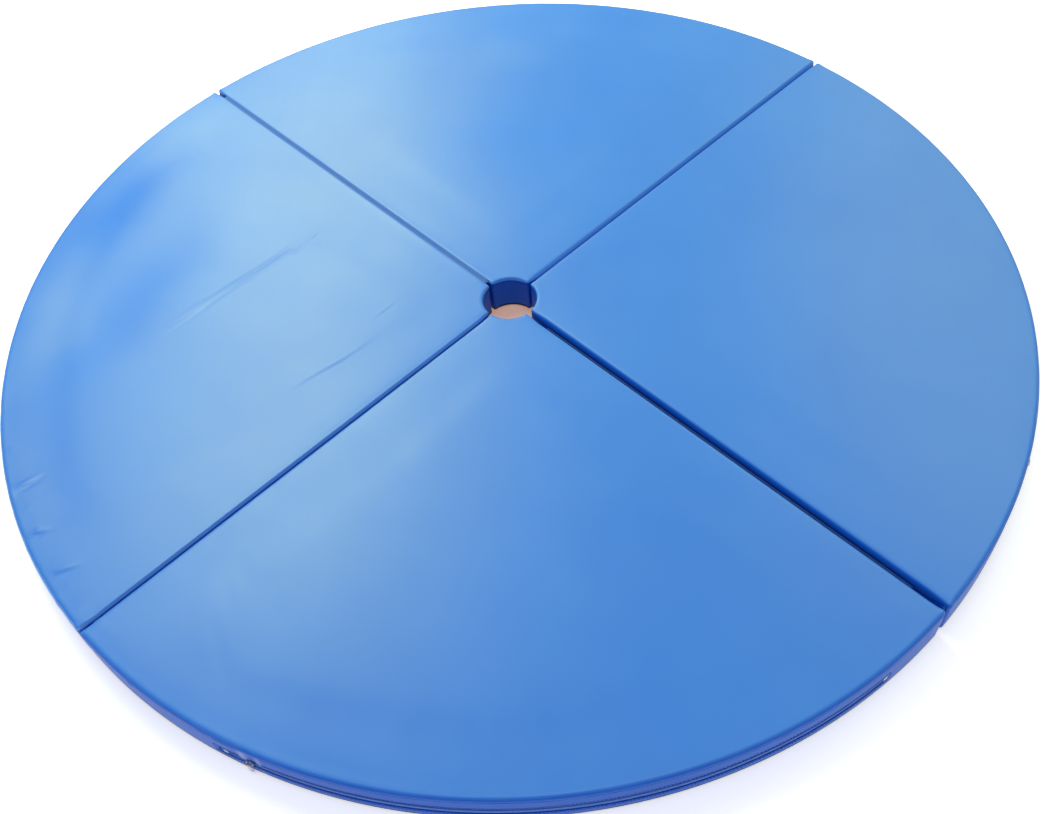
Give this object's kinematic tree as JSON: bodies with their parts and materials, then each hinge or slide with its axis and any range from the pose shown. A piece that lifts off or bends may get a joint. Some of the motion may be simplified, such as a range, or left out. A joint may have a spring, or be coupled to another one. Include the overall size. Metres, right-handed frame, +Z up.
{
  "type": "folding round pole mat",
  "caption": "Round padded floor mat in quarter panels on fabric hinges, with a pole hole, a hook-and-loop seam, foam cores and zipped covers along the rim.",
  "frame": {"origin": "on the pole axis at floor level, under the middle of the disc", "axes": "+Z up; the panels are centred on +X (right), +Y (rear), -X (left) and -Y (front), and the seams lie on the diagonals"},
  "size_m": [1.2, 1.2, 0.05],
  "materials": {
    "vinyl_top": "smooth semi-gloss coated vinyl with a fine grain",
    "vinyl_side": "smooth semi-gloss coated vinyl",
    "underside": "matte non-slip fabric with rubber dots",
    "foam": "matte closed-cell polyethylene foam",
    "hinge_fabric": "coated woven strip",
    "zip_tape": "matte woven tape",
    "zip_teeth": "nylon coil",
    "zip_metal": "plated zinc",
    "hook": "nylon hooks on woven tape",
    "loop": "brushed nylon loops on woven tape"
  },
  "bodies": {
    "left_panel": {"foam_core_left": "foam", "top_skin_left": "vinyl_top", "bottom_skin_left": "underside", "inner_band_left": "vinyl_side", "rim_band_left": "vinyl_side", "zip_tapes_left": "zip_tape", "zip_teeth_left": "zip_teeth", "zip_stops_left": "zip_metal", "hinge_strip_left_rear": "hinge_fabric", "hinge_strip_front_left": "hinge_fabric"},
    "rear_panel": {"foam_core_rear": "foam", "top_skin_rear": "vinyl_top", "bottom_skin_rear": "underside", "inner_band_rear": "vinyl_side", "rim_band_rear": "vinyl_side", "zip_tapes_rear": "zip_tape", "zip_teeth_rear": "zip_teeth", "zip_stops_rear": "zip_metal", "hinge_strip_rear_right": "hinge_fabric"},
    "right_panel": {"foam_core_right": "foam", "top_skin_right": "vinyl_top", "bottom_skin_right": "underside", "inner_band_right": "vinyl_side", "rim_band_right": "vinyl_side", "zip_tapes_right": "zip_tape", "zip_teeth_right": "zip_teeth", "zip_stops_right": "zip_metal", "loop_strip": "loop"},
    "front_panel": {"foam_core_front": "foam", "top_skin_front": "vinyl_top", "bottom_skin_front": "underside", "inner_band_front": "vinyl_side", "rim_band_front": "vinyl_side", "zip_tapes_front": "zip_tape", "zip_teeth_front": "zip_teeth", "zip_stops_front": "zip_metal", "hook_strip": "hook"},
    "left_slider": {"zip_slider_left": "zip_metal"},
    "left_pull": {"zip_pull_left": "zip_metal"},
    "rear_slider": {"zip_slider_rear": "zip_metal"},
    "rear_pull": {"zip_pull_rear": "zip_metal"},
    "right_slider": {"zip_slider_right": "zip_metal"},
    "right_pull": {"zip_pull_right": "zip_metal"},
    "front_slider": {"zip_slider_front": "zip_metal"},
    "front_pull": {"zip_pull_front": "zip_metal"}
  },
  "joints": [
    {"name": "rear_fold", "type": "hinge", "parent": "left_panel", "child": "rear_panel", "pos_m": [0, 0, 0.0505], "axis": [0.7071, -0.7071, 0], "range_deg": [0, 179.5], "deforming": ["hinge_strip_left_rear"]},
    {"name": "right_fold", "type": "hinge", "parent": "rear_panel", "child": "right_panel", "pos_m": [0, 0, -0.0005], "axis": [0.7071, 0.7071, 0], "range_deg": [0, 179.5], "deforming": ["hinge_strip_rear_right"]},
    {"name": "front_fold", "type": "hinge", "parent": "left_panel", "child": "front_panel", "pos_m": [0, 0, -0.0005], "axis": [0.7071, 0.7071, 0], "range_deg": [0, 179.5], "deforming": ["hinge_strip_front_left"]},
    {"name": "left_zip", "type": "hinge", "parent": "left_panel", "child": "left_slider", "pos_m": [0, 0, 0.02], "axis": [0, 0, 1], "range_deg": [0, 57], "deforming": ["zip_teeth_left"]},
    {"name": "left_pull_swing", "type": "hinge", "parent": "left_slider", "child": "left_pull", "pos_m": [-0.5528, 0.24037, 0.02], "axis": [0.3987, 0.9171, 0], "range_deg": [0, 165]},
    {"name": "rear_zip", "type": "hinge", "parent": "rear_panel", "child": "rear_slider", "pos_m": [0, 0, 0.02], "axis": [0, 0, 1], "range_deg": [0, 57], "deforming": ["zip_teeth_rear"]},
    {"name": "rear_pull_swing", "type": "hinge", "parent": "rear_slider", "child": "rear_pull", "pos_m": [0.24037, 0.5528, 0.02], "axis": [0.9171, -0.3987, 0], "range_deg": [0, 165]},
    {"name": "right_zip", "type": "hinge", "parent": "right_panel", "child": "right_slider", "pos_m": [0, 0, 0.02], "axis": [0, 0, 1], "range_deg": [0, 57], "deforming": ["zip_teeth_right"]},
    {"name": "right_pull_swing", "type": "hinge", "parent": "right_slider", "child": "right_pull", "pos_m": [0.5528, -0.24037, 0.02], "axis": [-0.3987, -0.9171, 0], "range_deg": [0, 165]},
    {"name": "front_zip", "type": "hinge", "parent": "front_panel", "child": "front_slider", "pos_m": [0, 0, 0.02], "axis": [0, 0, 1], "range_deg": [0, 57], "deforming": ["zip_teeth_front"]},
    {"name": "front_pull_swing", "type": "hinge", "parent": "front_slider", "child": "front_pull", "pos_m": [-0.24037, -0.5528, 0.02], "axis": [-0.9171, 0.3987, 0], "range_deg": [0, 165]}
  ]
}
